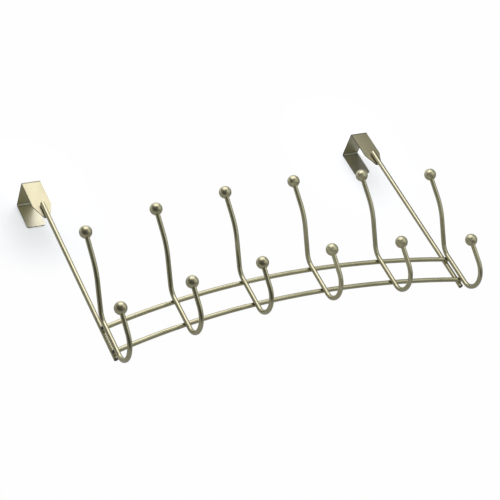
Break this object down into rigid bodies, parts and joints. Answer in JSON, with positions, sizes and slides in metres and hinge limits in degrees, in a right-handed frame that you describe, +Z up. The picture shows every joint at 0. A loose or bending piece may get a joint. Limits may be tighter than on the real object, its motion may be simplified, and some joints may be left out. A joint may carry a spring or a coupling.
{
  "type": "over door hook",
  "caption": "Over-door rack of welded steel wire: double coat hooks with ball ends on two arched rails, hung by rods from folded door brackets.",
  "frame": {"origin": "on the door's top edge, midway between the two brackets and midway through the door's thickness", "axes": "+Z up, +X along the rack to the right as seen from the room, -Y out of the door into the room"},
  "size_m": [0.4724, 0.1148, 0.2884],
  "materials": {
    "bracket_strap": "satin champagne nickel plate on steel strip",
    "wire": "satin champagne nickel plate on drawn steel wire",
    "ball": "satin champagne nickel plate on turned steel balls"
  },
  "bodies": {
    "root": {"left_bracket": "bracket_strap", "right_bracket": "bracket_strap", "left_hanger_rod": "wire", "right_hanger_rod": "wire", "upper_rail": "wire", "lower_rail": "wire", "hook_wire_1": "wire", "upper_ball_1": "ball", "lower_ball_1": "ball", "hook_wire_2": "wire", "upper_ball_2": "ball", "lower_ball_2": "ball", "hook_wire_3": "wire", "upper_ball_3": "ball", "lower_ball_3": "ball", "hook_wire_4": "wire", "upper_ball_4": "ball", "lower_ball_4": "ball", "hook_wire_5": "wire", "upper_ball_5": "ball", "lower_ball_5": "ball", "hook_wire_6": "wire", "upper_ball_6": "ball", "lower_ball_6": "ball"}
  },
  "joints": []
}
